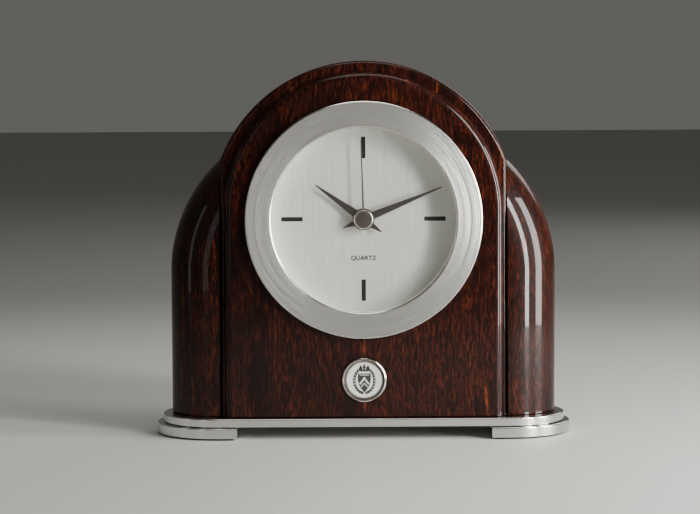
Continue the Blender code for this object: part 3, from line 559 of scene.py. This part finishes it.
def satin_cap():
    """The hub cap: satin nickel turned about its axis, polished at its rim."""
    finish = Finish("satin_nickel", Metallic=1.0)
    x, _, z = finish.axes(finish.place(centre=(0, 0, DIAL_Z)))
    radius = (x * x + z * z) ** 0.5
    turned = finish.noise(finish.vector(radius, 0.0, 0.0), 9.0, detail=4, roughness=0.7) - 0.5
    rim = radius.above(3.9, 4.1)
    colour = finish.mix(rim, (0.25, 0.215, 0.19), (0.66, 0.61, 0.56))
    finish.set(Base_Color=colour, Roughness=0.34 - rim * 0.16 + turned * 0.12)
    lean = turned * (0.9 - rim * 0.8)
    finish.set(Normal=finish.scratched(finish.vector(x / radius * lean, 0.0, z / radius * lean)))
    return finish.material


def plastic(name, colour, roughness=0.45, grain=4.0, depth=0.3):
    """Moulded plastic or rubber with a fine spark-eroded texture."""
    finish = Finish(name)
    texture = finish.noise(finish.place(), grain, detail=4, roughness=0.6)
    tone = 0.9 + (texture - 0.5) * 0.3
    finish.set(Base_Color=finish.shade(tone, colour))
    finish.set(Roughness=roughness + (texture - 0.5) * 0.15)
    finish.set(Normal=finish.bump(texture, 0.03, depth))
    return finish.material


def clear_glass():
    """Flat glass, clear but for faint smears."""
    finish = Finish("clear_glass", IOR=1.45, Alpha=0.07)
    smears = finish.noise(finish.place(), 0.06, detail=3)
    finish.set(Base_Color=finish.mix(smears, (0.010, 0.012, 0.011), (0.03, 0.034, 0.032)))
    finish.set(Roughness=0.01 + smears * 0.02)
    return finish.material


def printed_ink(name, colour):
    """Ink with a faint speckle."""
    finish = Finish(name)
    speckle = finish.noise(finish.place(), 6.0, detail=3)
    finish.set(Base_Color=finish.shade(0.85 + speckle * 0.3, colour))
    finish.set(Roughness=0.35 + speckle * 0.15)
    return finish.material


WOOD = lacquered_wood()
BEZEL_METAL = brushed_ring()
BASE_METAL = satin_aluminium()
DIAL_SILVER = dial_silver()
GUNMETAL = plain_metal("gunmetal", (0.19, 0.178, 0.166), 0.36)
NEEDLE_STEEL = plain_metal("needle_steel", (0.42, 0.42, 0.40), 0.3)
POLISHED_RIM = plain_metal("polished_rim", (0.62, 0.55, 0.51), 0.1, depth=0.08)
ZINC = plain_metal("zinc_steel", (0.5, 0.5, 0.48), 0.32)
BRASS = plain_metal("brass", (0.62, 0.42, 0.17), 0.3)
COPPER = plain_metal("copper_wire", (0.55, 0.2, 0.08), 0.35)
CAP_NICKEL = satin_cap()
GLASS = clear_glass()
ENAMEL = plastic("white_enamel", (0.74, 0.75, 0.70), 0.25, depth=0.1)
BLACK_PLASTIC = plastic("black_plastic", (0.022, 0.022, 0.023))
NYLON = plastic("gear_nylon", (0.75, 0.74, 0.68), 0.5)
BOARD = plastic("green_board", (0.03, 0.17, 0.06), 0.4)
RUBBER = plastic("rubber", (0.018, 0.018, 0.018), 0.8)
WRAP = plastic("battery_wrap", (0.10, 0.12, 0.14), 0.3, depth=0.1)
BARE_WOOD = plastic("bare_wood", (0.42, 0.27, 0.15), 0.75)
DIAL_INK = printed_ink("dial_ink", (0.012, 0.013, 0.011))
EMBLEM_INK = printed_ink("emblem_ink", (0.03, 0.032, 0.03))
# painted shade: this dark ink makes the ring inside the emblem's rim that stands in for the shade on the
# rim's inner wall
RIM_SHADE_INK = printed_ink("painted_rim_shade_ink", (0.10, 0.095, 0.08))


# The case ----------------------------------------------------------------------------------------------


def make_front_panel():
    """The arched panel, bored for the bezel and recessed for the emblem."""
    front = panel_low.y
    back = panel_high.y
    panel = arch_slab(PANEL_RADIUS, PANEL_RADIUS, PANEL_Z, front, back, WOOD_BOTTOM)
    round_rim(front, PANEL_ROUNDING, 14)
    combine(panel, cylinder(BEZEL_BORE, front - THROUGH, back + THROUGH, z=DIAL_Z, sides=160))
    floor = disc_high.y + FIT_GAP
    combine(panel, cylinder(rim_high.x + FIT_GAP, front - THROUGH, floor, z=EMBLEM_Z))
    finished(panel, "front_panel_veneered", "case", "lacquered_wood", WOOD, "front_panel")


def square_tool(half, front, back):
    """A cutter for the square pocket round the hands' axis."""
    return block((-half, front, DIAL_Z - half), (half, back, DIAL_Z + half))


def make_case_body():
    """The arched block, hollowed for the dial in front and for the movement behind."""
    front = body_low.y
    back = body_high.y
    body = arch_slab(
        ARCH_RADIUS,
        BODY_HALF_WIDTH,
        ARCH_Z,
        front,
        back,
        WOOD_BOTTOM,
        easing=SHOULDER_EASING,
    )
    for face in (front, back):
        round_rim(face, BODY_ROUNDING, 10)
    combine(body, cylinder(DIAL_BORE, front - THROUGH, WEB_FRONT, z=DIAL_Z, sides=128))
    combine(body, square_tool(POCKET_HALF, WEB_BACK, 40.0))
    combine(body, cylinder(BUSHING_HOLE, WEB_FRONT - THROUGH, 0.0, z=DIAL_Z, sides=48))
    finished(body, "case_body_veneered", "case", "lacquered_wood", WOOD, "case_body")


def make_back_panel():
    """The panel behind, with a square opening that is a little smaller than the pocket."""
    panel = arch_slab(PANEL_RADIUS, PANEL_RADIUS, PANEL_Z, back_low.y, back_high.y, WOOD_BOTTOM)
    round_rim(back_high.y, BACK_ROUNDING, 8)
    combine(panel, square_tool(POCKET_HALF - 0.5, back_low.y - THROUGH, back_high.y + THROUGH))
    finished(panel, "back_panel_veneered", "case", "lacquered_wood", WOOD, "back_panel")


def make_wing(name, node, side):
    """An ellipse drawn along the wing's outline, then cut to fit against the case."""
    outer = wing_high.x
    start_clean()
    bpy.ops.mesh.primitive_circle_add(
        vertices=128,
        radius=WING_HALF_WIDTH * MM,
        location=at(side * (outer - WING_HALF_WIDTH), WING_MIDDLE_Y, WING_SPRING_Z),
    )
    bpy.context.object.scale = (1.0, WING_HALF_DEPTH / WING_HALF_WIDTH, 1.0)
    settle()
    edit()
    drop = at(0, 0, WOOD_BOTTOM - WING_SPRING_Z)
    bpy.ops.mesh.extrude_edges_move(TRANSFORM_OT_translate={"value": drop})
    bpy.ops.mesh.edge_face_add()
    pick("EDGE", lambda edge: all(abs(v.co.z - WING_SPRING_Z * MM) < NEAR for v in edge.verts))
    bpy.ops.mesh.spin(
        steps=64,
        angle=math.radians(-WING_TURN) * side,
        center=at(side * (outer - WING_RADIUS), WING_MIDDLE_Y, WING_SPRING_Z),
        axis=(0.0, -1.0, 0.0),
    )
    bpy.ops.mesh.edge_face_add()
    wing = tidy_mesh()
    radius = ARCH_RADIUS + FIT_GAP
    half_width = BODY_HALF_WIDTH + FIT_GAP
    combine(wing, arch_slab(radius, half_width, ARCH_Z, -60.0, 60.0, -40.0))
    finished(wing, name, "case", "lacquered_wood", WOOD, node)


def make_base():
    """The base plate with its half-round ends, and a foot and a pad under each end."""
    plate = stadium_slab(plate_high.x, plate_high.y, plate_low.z, plate_high.z)
    chamfer_top(plate_high.z, PLATE_CHAMFER)
    finished(plate, "base_plate_brushed", "case", "brushed_aluminium", BASE_METAL, "base_plate")
    for side, word in ((-1, "left"), (1, "right")):
        foot = stadium_slab(foot_high.x, foot_high.y, foot_low.z, foot_high.z)
        keep_beyond(foot_low.x, side)
        chamfer_top(foot_high.z, FOOT_CHAMFER)
        finished(foot, f"foot_{word}_brushed", "case", "brushed_aluminium", BASE_METAL, f"foot_{word}")
        pad = stadium_slab(pad_high.x, pad_high.y, pad_low.z, pad_high.z)
        keep_beyond(pad_low.x, side)
        finished(pad, f"foot_pad_{word}_rubber", "case", "rubber", RUBBER, f"foot_pad_{word}")


# Dial, bezel and emblem --------------------------------------------------------------------------------


def make_bezel():
    """The ring: eased edges, a lip in front of the glass and a spigot in the panel's bore."""
    outer = bezel_high.x
    front = bezel_low.y
    back = panel_low.y - FIT_GAP
    opening = BEZEL_OPENING
    lip = front + 2.5
    spigot = BEZEL_BORE - 0.4
    seat = spigot - 0.8
    easing = [(0.0, 0.6), (0.1, 0.42), (0.55, 0.05), (0.7, 0.0)]
    rings = [
        (outer, back),
        *((outer - inward, front + down) for inward, down in easing),
        *((opening + outward, front + down) for outward, down in reversed(easing)),
        (opening, lip),
        (seat, lip),
        (seat, bezel_high.y),
        (spigot, bezel_high.y),
        (spigot, back),
        (outer, back),
    ]
    ring = lathe(rings, z=DIAL_Z, sides=256)
    finished(ring, "bezel_turned", "case", "brushed_aluminium", BEZEL_METAL, "bezel_ring")


def make_glass():
    """A flat disc with its edges ground."""
    edge = 0.25
    radius = glass_high.x
    rings = [
        (radius - edge, glass_low.y),
        (radius, glass_low.y + edge),
        (radius, glass_high.y - edge),
        (radius - edge, glass_high.y),
    ]
    finished(lathe(rings, z=DIAL_Z), "lens_glass_clear", "case", "clear_glass", GLASS, "lens_glass")


def make_dial():
    """The silvered dial and the ring that spaces the glass from it."""
    outer = spacer_high.x
    edge = 0.15
    spacer = [
        (outer, spacer_high.y),
        (outer, spacer_low.y),
        (BEZEL_OPENING + edge, spacer_low.y),
        (BEZEL_OPENING, spacer_low.y + edge),
        (BEZEL_OPENING, spacer_high.y),
        (outer, spacer_high.y),
    ]
    ring = lathe(spacer, z=DIAL_Z, sides=256)
    finished(ring, "dial_spacer_turned", "case", "dial_silver", DIAL_SILVER, "dial_spacer_ring")
    rim = dial_high.x
    plate = [
        (rim, dial_high.y),
        (rim, dial_low.y),
        (BUSHING_HOLE, dial_low.y),
        (BUSHING_HOLE, dial_high.y),
        (rim, dial_high.y),
    ]
    dial = lathe(plate, z=DIAL_Z)
    finished(dial, "dial_plate_brushed", "case", "dial_silver", DIAL_SILVER, "dial_plate")


def make_baton(number):
    """A printed bar with rounded corners, a quarter turn for each number."""
    start_clean()
    middle = (BATON_INNER + BATON_OUTER) / 2
    bpy.ops.mesh.primitive_plane_add(
        size=1.0,
        location=at(0, dial_low.y - INK_THICKNESS, DIAL_Z + middle),
        rotation=(math.pi / 2, 0.0, 0.0),
    )
    bpy.context.object.scale = (BATON_WIDTH * MM, (BATON_OUTER - BATON_INNER) * MM, 1.0)
    settle()
    edit()
    bpy.ops.mesh.bevel(offset=BATON_CORNER * MM, segments=5, affect="VERTICES")
    bpy.ops.mesh.select_all(action="SELECT")
    bpy.ops.mesh.extrude_region_move(TRANSFORM_OT_translate={"value": at(0, INK_THICKNESS * 0.8, 0)})
    baton = tidy_mesh()
    turn = Matrix.Rotation(number * math.pi / 2, 4, "Y")
    centre = Matrix.Translation(at(0, 0, DIAL_Z))
    baton.data.transform(centre @ turn @ centre.inverted())
    finished(baton, f"baton_{number * 3 or 12}", "case", "gunmetal", DIAL_INK)


def make_lettering():
    """The word for the kind of movement, in a plain face."""
    start_clean()
    bpy.ops.object.text_add(
        location=at(0, dial_low.y - INK_THICKNESS, DIAL_Z - LETTERING_DROP),
        rotation=(math.pi / 2, 0.0, 0.0),
    )
    text = bpy.context.object
    text.data.body = "QUARTZ"
    text.data.align_x = "CENTER"
    text.data.size = LETTER_SIZE * MM
    text.data.offset = 0.08 * MM
    text.data.space_character = 1.04
    text.data.extrude = INK_THICKNESS * 0.4 * MM
    text.data.resolution_u = 6
    bpy.ops.object.convert(target="MESH")
    settle()
    edit()
    tidy_mesh()
    finished(bpy.context.object, "dial_lettering", "case", "gunmetal", DIAL_INK)


def make_emblem():
    """A polished rim round an enamelled disc, with a printed crest and a dark ring of painted shade inside
    the rim.
    """
    outer = rim_high.x
    front = rim_low.y
    back = rim_high.y
    rings = [
        (outer, back),
        (outer, front + 1.1),
        (outer - 0.15, front + 0.55),
        (outer - 0.45, front + 0.18),
        (outer - 0.85, front),
        (outer - 1.15, front + 0.12),
        (outer - 1.35, front + 0.5),
        (outer - 1.4, front + 0.9),
        (outer - 1.4, back),
        (outer, back),
    ]
    rim = lathe(rings, z=EMBLEM_Z, sides=128)
    finished(rim, "emblem_rim_turned", "case", "polished_rim", POLISHED_RIM, "emblem_rim")
    radius = disc_high.x
    edge = 0.3
    disc = lathe([(radius, disc_high.y), (radius, FACE + edge), (radius - edge, FACE)], z=EMBLEM_Z, sides=128)
    finished(disc, "emblem_disc_enamelled", "case", "white_enamel", ENAMEL, "emblem_disc")
    make_shield()
    make_wreath()
    make_coronet()
    # painted shade: a dark ring just inside the rim
    make_painted_rim_shade(radius - 0.8, radius - 0.1)


def printed(piece, name, ink):
    """Set a mark of ink on the emblem."""
    return finished(piece, name, "case", "white_enamel", ink)


def make_painted_rim_shade(inner, outer):
    """A dark ring of painted shade just inside the rim, standing in for the shade on the rim's inner wall."""
    rings = [
        (outer, INK_FRONT),
        (outer, INK_BACK),
        (inner, INK_BACK),
        (inner, INK_FRONT),
        (outer, INK_FRONT),
    ]
    printed(lathe(rings, z=EMBLEM_Z, sides=128), "emblem_painted_rim_shade", RIM_SHADE_INK)


def shield_slab(half_width, top):
    """A shield with a flat top and a pointed foot: where two discs overlap, cut level."""
    offset = 6.1
    radius = half_width + offset
    centre_z = EMBLEM_Z + 1.0
    shield = cylinder(radius, INK_FRONT, INK_BACK, x=-offset, z=centre_z, sides=256)
    other = cylinder(radius, INK_FRONT - 1.0, FACE + 1.0, x=offset, z=centre_z, sides=256)
    combine(shield, other, "INTERSECT")
    activate(shield)
    edit()
    bpy.ops.mesh.bisect(plane_co=at(0, 0, top), plane_no=(0, 0, 1), clear_outer=True, use_fill=True)
    return tidy_mesh()


def slanted_bar(x, z, half_width, half_length, angle):
    """A cutter for a bare stripe in the shield."""
    low = (-half_width, FACE - 1.0, -half_length)
    high = (half_width, FACE + 1.0, half_length)
    bar = block(low, high)
    bar.data.transform(Matrix.Translation(at(x, 0, z)) @ Matrix.Rotation(angle, 4, "Y"))
    return bar


def leaf(x, z, length, width, angle):
    """A small pointed leaf lying on the enamel."""
    start_clean()
    bpy.ops.mesh.primitive_circle_add(
        vertices=6,
        radius=length * MM / 2,
        fill_type="NGON",
        rotation=(math.pi / 2, 0.0, 0.0),
    )
    bpy.context.object.scale = (1.0, width / length, 1.0)
    settle()
    edit()
    bpy.ops.mesh.extrude_region_move(TRANSFORM_OT_translate={"value": at(0, 0.6 * INK_THICKNESS, 0)})
    piece = tidy_mesh()
    place = Matrix.Translation(at(x, FACE - 0.8 * INK_THICKNESS, z))
    piece.data.transform(place @ Matrix.Rotation(angle, 4, "Y"))
    return piece


def join(pieces):
    start_clean()
    for piece in pieces:
        piece.select_set(True)
    bpy.context.view_layer.objects.active = pieces[0]
    bpy.ops.object.join()
    return bpy.context.object


def make_shield():
    """The shield, with two chevrons and a bar left bare."""
    shield = shield_slab(3.3, EMBLEM_Z + 3.3)
    slope = math.radians(38)
    for side in (-1, 1):
        combine(shield, slanted_bar(side * 0.95, EMBLEM_Z - 0.4, 0.42, 2.1, -side * slope))
        combine(shield, slanted_bar(side * 0.8, EMBLEM_Z - 2.6, 0.22, 1.3, -side * slope))
    combine(shield, slanted_bar(0.0, EMBLEM_Z + 2.45, 0.16, 2.3, math.radians(90)))
    printed(shield, "emblem_shield", EMBLEM_INK)


def make_wreath():
    """Pairs of leaves up both sides of an oval, open at its top."""
    half_width = 5.0
    half_height = 6.3
    leaves = []
    for step in range(11):
        angle = math.radians(-78 + 14 * step)
        slope = math.atan2(half_height * math.cos(angle), -half_width * math.sin(angle))
        for side in (-1, 1):
            x = side * half_width * math.cos(angle)
            z = EMBLEM_Z - 0.3 + half_height * math.sin(angle)
            for lean in (-50, 50):
                turn = slope + math.radians(lean)
                leaves.append(leaf(x, z, 2.1, 0.85, -turn if side > 0 else turn - math.pi))
    printed(join(leaves), "emblem_wreath", EMBLEM_INK)


def make_coronet():
    """A band with three points."""
    band = block((-2.0, INK_FRONT, EMBLEM_Z + 4.2), (2.0, INK_BACK, EMBLEM_Z + 5.1))
    points = [
        leaf(x, EMBLEM_Z + middle, 3.2, 1.5, math.radians(turn))
        for x, middle, turn in ((0.0, 6.4, 90), (-1.6, 5.9, 68), (1.6, 5.9, 112))
    ]
    printed(join([band, *points]), "emblem_coronet", EMBLEM_INK)


# Hands -----------------------------------------------------------------------------------------------


def blade(front, thickness, half_width, length, tip_half_width):
    """One side of a hand: a bar that tapers upwards from the axis, with a ridge down its front."""
    bar = block((-half_width, front, 0.0), (half_width, front + thickness, length))
    edit()
    bpy.ops.mesh.bisect(plane_co=(0, 0, 0), plane_no=(1, 0, 0))
    pick("VERT", lambda vert: vert.co.z > (length - 0.001) * MM)
    scale = tip_half_width / half_width
    bpy.ops.transform.resize(value=(scale, 1, 1), center_override=(0, 0, 0))
    pick("VERT", lambda vert: abs(vert.co.x) < NEAR and vert.co.y < (front + 0.001) * MM)
    bpy.ops.transform.translate(value=at(0, -HAND_RIDGE, 0))
    tidy_mesh()
    return bar


def hand(node, angle, hub, bore, length, tail, half_width, tip):
    """A blade and a shorter tail, joined on a ring with a hole for the arbor."""
    low, high = span(node)
    front = low.y
    thickness = high.y - low.y
    hub_rings = [
        (hub, front + thickness),
        (hub, front + 0.1),
        (hub - 0.1, front),
        (bore + 0.05, front),
        (bore, front + 0.05),
        (bore, front + thickness),
        (hub, front + thickness),
    ]
    ring = lathe(hub_rings, sides=96)
    point = blade(front + 0.06, thickness - 0.12, half_width, length, tip)
    counter = blade(front + 0.07, thickness - 0.14, half_width * 1.05, tail, tip)
    counter.data.transform(Matrix.Rotation(math.pi, 4, "Y"))
    clear = cylinder(bore + 0.4, front - THROUGH, front + THROUGH, sides=64)
    combine(point, counter, "UNION")
    combine(point, clear)
    whole = combine(ring, point, "UNION")
    whole.data.transform(Matrix.Translation(at(0, 0, DIAL_Z)) @ Matrix.Rotation(angle, 4, "Y"))
    return whole


def make_hands():
    hour = hand(
        "hour_hand",
        HOUR_ANGLE,
        hub=5.5,
        bore=2.6,
        length=29.5,
        tail=HAND_TAIL,
        half_width=2.35,
        tip=0.3,
    )
    finished(hour, "hour_hand_blade", "hours", "gunmetal", GUNMETAL, "hour_hand")
    minute = hand(
        "minute_hand",
        MINUTE_ANGLE,
        hub=5.3,
        bore=1.8,
        length=42.2,
        tail=HAND_TAIL,
        half_width=2.15,
        tip=0.28,
    )
    finished(minute, "minute_hand_blade", "minutes", "gunmetal", GUNMETAL, "minute_hand")
    second = hand(
        "second_hand",
        SECOND_ANGLE,
        hub=3.0,
        bore=0.75,
        length=39.8,
        tail=3.2,
        half_width=0.55,
        tip=0.22,
    )
    finished(second, "second_hand_needle", "seconds", "satin_nickel", NEEDLE_STEEL, "second_hand")


def make_hub_cap():
    """A low satin cap with a raised, polished edge."""
    radius = cap_high.x
    back = cap_high.y
    cap = [
        (radius - 0.1, back),
        (radius, back - 0.08),
        (radius, back - 0.3),
        (radius - 0.12, back - 0.55),
        (radius - 0.4, back - 0.72),
        (radius - 0.85, back - 0.78),
        (radius - 1.0, back - 0.72),
        (radius - 1.5, back - 0.76),
        (2.2, back - 0.86),
        (0.9, back - 0.895),
    ]
    turned = lathe(cap, z=DIAL_Z, sides=128)
    finished(turned, "hub_cap_turned", "seconds", "satin_nickel", CAP_NICKEL, "hub_cap")


# Back and underside ------------------------------------------------------------------------------------


def make_screw(node, turn):
    """A pan-head screw with a cross recess, made with its head towards -Y and then turned."""
    low, high = span(node)
    centre = (low + high) / 2
    length = max(high - low)
    head = 1.8
    shank = 1.5
    rings = [
        (shank, length - head),
        (shank, 0.0),
        (3.2, 0.0),
        (3.2, -head * 0.4),
        (2.95, -head * 0.75),
        (2.3, -head * 0.97),
        (1.2, -head),
    ]
    screw = lathe(rings, sides=48)
    recess = 0.9
    for wide, tall in ((1.6, 0.35), (0.35, 1.6)):
        combine(screw, block((-wide, -head - 1, -tall), (wide, -head + recess, tall)))
    middle = at(0, (length - 2 * head) / 2, 0)
    screw.data.transform(Matrix.Translation(centre * MM) @ turn @ Matrix.Translation(-middle))
    finished(screw, node + "_cross", "case", "zinc_steel", ZINC, node)


def make_screws():
    backwards = Matrix.Rotation(math.pi, 4, "Z")
    downwards = Matrix.Rotation(math.pi / 2, 4, "X")
    for number in range(1, 5):
        make_screw(f"back_screw_{number}", backwards)
        make_screw(f"base_screw_{number}", downwards)
        make_screw(f"foot_screw_{number}", downwards)


def make_battery():
    """An AA cell with a plain wrap and bare ends."""
    radius = (battery_high.z - battery_low.z) / 2
    tip = battery_high.x
    end = battery_low.x
    nub = 2.7
    rings = [
        (nub - 0.05, -tip),
        (nub, -tip + 0.2),
        (nub, -tip + 1.0),
        (radius - 1.2, -tip + 1.1),
        (radius - 0.5, -tip + 1.2),
        (radius - 0.1, -tip + 1.5),
        (radius, -tip + 2.0),
        (radius, -end - 1.0),
        (radius - 0.2, -end - 0.5),
        (radius - 0.8, -end - 0.3),
        (radius - 1.6, -end),
    ]
    cell = lathe(rings, sides=96)
    middle_z = (battery_high.z + battery_low.z) / 2
    cell.data.transform(Matrix.Translation(at(0, 0, middle_z)) @ Matrix.Rotation(math.pi / 2, 4, "Z"))
    finished(cell, "battery_cell", "battery", "battery_wrap", WRAP, "battery")


def dress_cad_nodes():
    """Finishes for the CAD pieces that show as they are."""
    finishes = {
        "movement_case": BLACK_PLASTIC,
        "movement_cover": BLACK_PLASTIC,
        "setting_knob": BLACK_PLASTIC,
        "mounting_washer": BRASS,
        "mounting_nut": BRASS,
        "minute_pipe": BRASS,
        "stator": ZINC,
        "contact_positive": ZINC,
        "contact_negative": ZINC,
        "coil": COPPER,
        "circuit_board": BOARD,
        "rotor": GUNMETAL,
    }
    for wheel in ("intermediate", "seconds", "third", "centre", "motion", "hour"):
        finishes[f"{wheel}_wheel"] = NYLON
    for number in range(1, 5):
        finishes[f"wing_dowel_{number}"] = BARE_WOOD
    for node, material in finishes.items():
        nodes[node].data.materials.clear()
        nodes[node].data.materials.append(material)


# Camera, light and floor -------------------------------------------------------------------------------

SOFT_WHITE = (1.0, 0.98, 0.95)
WINDOW_WHITE = (1.0, 0.975, 0.94)


def make_camera():
    """A long lens, a little left of the middle and above the dial."""
    data = bpy.data.cameras.new("camera")
    data.lens = 121.25
    data.sensor_width = 36.0
    camera = bpy.data.objects.new("camera", data)
    bpy.context.scene.collection.objects.link(camera)
    yaw, pitch, roll = (math.radians(angle) for angle in (0.51, 4.307, -0.253))
    camera.matrix_world = (
        Matrix.Translation(at(-17.3, -1195.0, 179.0))
        @ Matrix.Rotation(-yaw, 4, "Z")
        @ Matrix.Rotation(math.pi / 2 - pitch, 4, "X")
        @ Matrix.Rotation(roll, 4, "Z")
    )
    bpy.context.scene.camera = camera


def make_light(name, place, aim, width, height, power, colour=SOFT_WHITE):
    """A soft panel of light that faces its aim; sizes in metres."""
    data = bpy.data.lights.new(name, "AREA")
    data.shape = "RECTANGLE"
    data.size = width
    data.size_y = height
    data.energy = power
    data.color = colour
    light = bpy.data.objects.new(name, data)
    bpy.context.scene.collection.objects.link(light)
    light.location = place
    light.rotation_euler = (Vector(aim) - Vector(place)).to_track_quat("-Z", "Y").to_euler()
    light.visible_camera = False


def make_window(name, bearing, distance, width, height, power):
    """An upright light on the floor, at a bearing in degrees from the front towards the right."""
    angle = math.radians(bearing)
    place = (distance * math.sin(angle), -distance * math.cos(angle), height / 2)
    make_light(name, place, (0.0, 0.0, height / 2), width, height, power, WINDOW_WHITE)


def make_floor():
    """A wide pale floor with painted light falloff: its colour is lighter round the clock and darker farther
    out.
    """
    start_clean()
    bpy.ops.mesh.primitive_plane_add(size=14.0, location=(0.0, 0.0, 0.0))
    floor = bpy.context.object
    floor.name = "floor"
    finish = Finish("pale_floor", Roughness=0.55)
    x, y, _ = finish.axes(finish.place())
    distance = (x * x + y * y) ** 0.5
    # painted light falloff: a pool of light painted round the middle, fading to a darker floor farther out
    near = (0.52, 0.52, 0.505)
    far = (0.30, 0.30, 0.29)
    finish.set(Base_Color=finish.mix(distance.above(330.0, 850.0), near, far))
    floor.data.materials.append(finish.material)


def make_lights():
    """A dim room, two windows on the right, two faint ones on the left, and soft light from above."""
    world = bpy.data.worlds.new("studio")
    bpy.context.scene.world = world
    world.use_nodes = True
    background = world.node_tree.nodes["Background"]
    background.inputs["Color"].default_value = (0.56, 0.55, 0.51, 1.0)
    background.inputs["Strength"].default_value = 0.22
    middle = (0.0, 0.0, 0.10)
    make_window("window", 51.0, 0.6, 0.08, 0.4, 5.2)
    make_window("side_window", 77.0, 0.62, 0.16, 0.4, 6.0)
    make_window("dim_window", -38.0, 0.9, 0.16, 0.6, 0.3)
    make_window("dim_side_window", -72.0, 0.9, 0.1, 0.5, 0.2)
    make_light("skylight", (0.95, -0.9, 0.8), middle, 0.4, 0.4, 11.0)
    make_light("overhead", (0.1, -0.2, 1.6), middle, 1.0, 0.7, 7.0)
    make_light("rear", (0.9, 1.3, 0.9), middle, 0.8, 0.8, 6.0)


make_camera()
make_front_panel()
make_case_body()
make_back_panel()
make_wing("wing_left_veneered", "wing_left", -1)
make_wing("wing_right_veneered", "wing_right", 1)
make_base()
make_bezel()
make_glass()
make_dial()
for quarter in range(4):
    make_baton(quarter)
make_lettering()
make_emblem()
make_hands()
make_hub_cap()
make_screws()
make_battery()
dress_cad_nodes()
make_floor()
make_lights()
start_clean()
